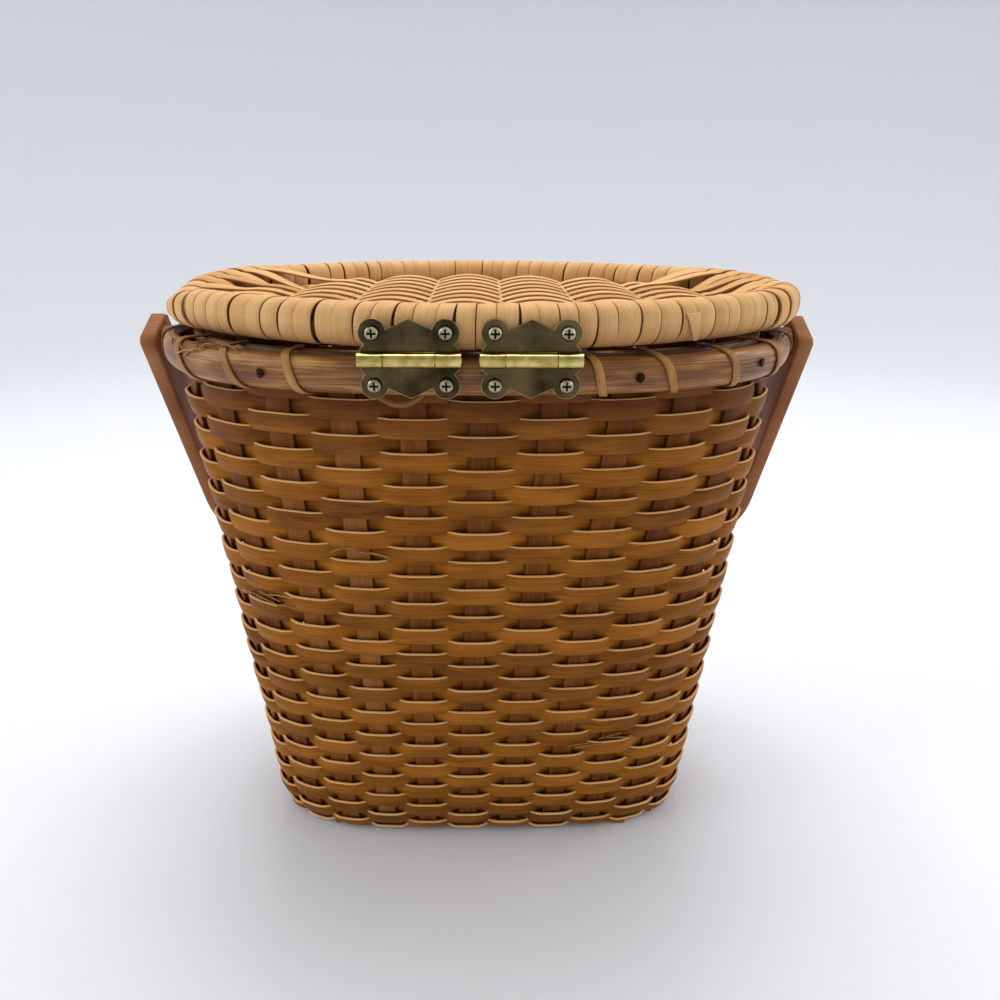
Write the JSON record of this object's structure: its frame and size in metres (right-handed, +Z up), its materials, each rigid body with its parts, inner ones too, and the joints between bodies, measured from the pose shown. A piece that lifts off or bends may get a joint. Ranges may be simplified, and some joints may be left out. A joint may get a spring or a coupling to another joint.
{
  "type": "lidded basket",
  "caption": "Oval tapered woven basket with a hinged woven lid, a lashed rim, brass butterfly hinges and a flat bentwood handle that swings over the top.",
  "frame": {"origin": "middle of the base, on the ground", "axes": "+Z up, +X along the oval's length, -Y to the hinges, +Y to the side where the handle hangs"},
  "size_m": [0.2474, 0.1529, 0.2258],
  "materials": {
    "amber_reed": "satin aged flat reed",
    "stake_reed": "satin aged flat reed",
    "rattan": "satin split rattan",
    "cane": "satin cane",
    "pale_reed": "satin pale flat reed",
    "rib_reed": "satin pale split reed",
    "brass": "worn plated brass",
    "screw_steel": "dull plated steel",
    "handle_wood": "satin bent slat"
  },
  "bodies": {
    "basket": {"woven_wall": "amber_reed", "woven_base": "amber_reed", "cross_stake_1": "stake_reed", "cross_stake_2": "stake_reed", "cross_stake_3": "stake_reed", "cross_stake_4": "stake_reed", "cross_stake_5": "stake_reed", "cross_stake_6": "stake_reed", "cross_stake_7": "stake_reed", "cross_stake_8": "stake_reed", "cross_stake_9": "stake_reed", "long_stake_1": "stake_reed", "long_stake_2": "stake_reed", "corner_stake_1": "stake_reed", "corner_stake_2": "stake_reed", "corner_stake_3": "stake_reed", "corner_stake_4": "stake_reed", "outer_rim_hoop": "rattan", "inner_rim_hoop": "rattan", "rim_lashing": "cane", "rim_nail_1": "screw_steel", "rim_nail_2": "screw_steel", "rim_nail_3": "screw_steel", "left_rim_leaf": "brass", "right_rim_leaf": "brass", "left_hinge_pin": "brass", "right_hinge_pin": "brass", "left_hinge_rim_screw_1": "screw_steel", "left_hinge_rim_screw_2": "screw_steel", "right_hinge_rim_screw_1": "screw_steel", "right_hinge_rim_screw_2": "screw_steel", "handle_pivot_left": "screw_steel", "handle_pivot_right": "screw_steel", "handle_spacer_left": "handle_wood", "handle_spacer_right": "handle_wood"},
    "lid": {"lid_core_hoop": "rattan", "lid_rim_wrap": "pale_reed", "lid_panel": "pale_reed", "lid_rib_1": "rib_reed", "lid_rib_2": "rib_reed", "lid_rib_3": "rib_reed", "lid_rib_4": "rib_reed", "lid_rib_5": "rib_reed", "lid_rib_6": "rib_reed", "lid_rib_7": "rib_reed", "left_lid_leaf": "brass", "right_lid_leaf": "brass", "left_hinge_lid_screw_1": "screw_steel", "left_hinge_lid_screw_2": "screw_steel", "right_hinge_lid_screw_1": "screw_steel", "right_hinge_lid_screw_2": "screw_steel"},
    "handle": {"handle_bow": "handle_wood"}
  },
  "joints": [
    {"name": "lid_hinge", "type": "hinge", "parent": "basket", "child": "lid", "pos_m": [-0.002, -0.0767, 0.2113], "axis": [1, 0, 0], "range_deg": [0, 175]},
    {"name": "handle_swing", "type": "hinge", "parent": "basket", "child": "handle", "pos_m": [0, 0, 0.2025], "axis": [-1, 0, 0], "range_deg": [-306, 0]}
  ]
}
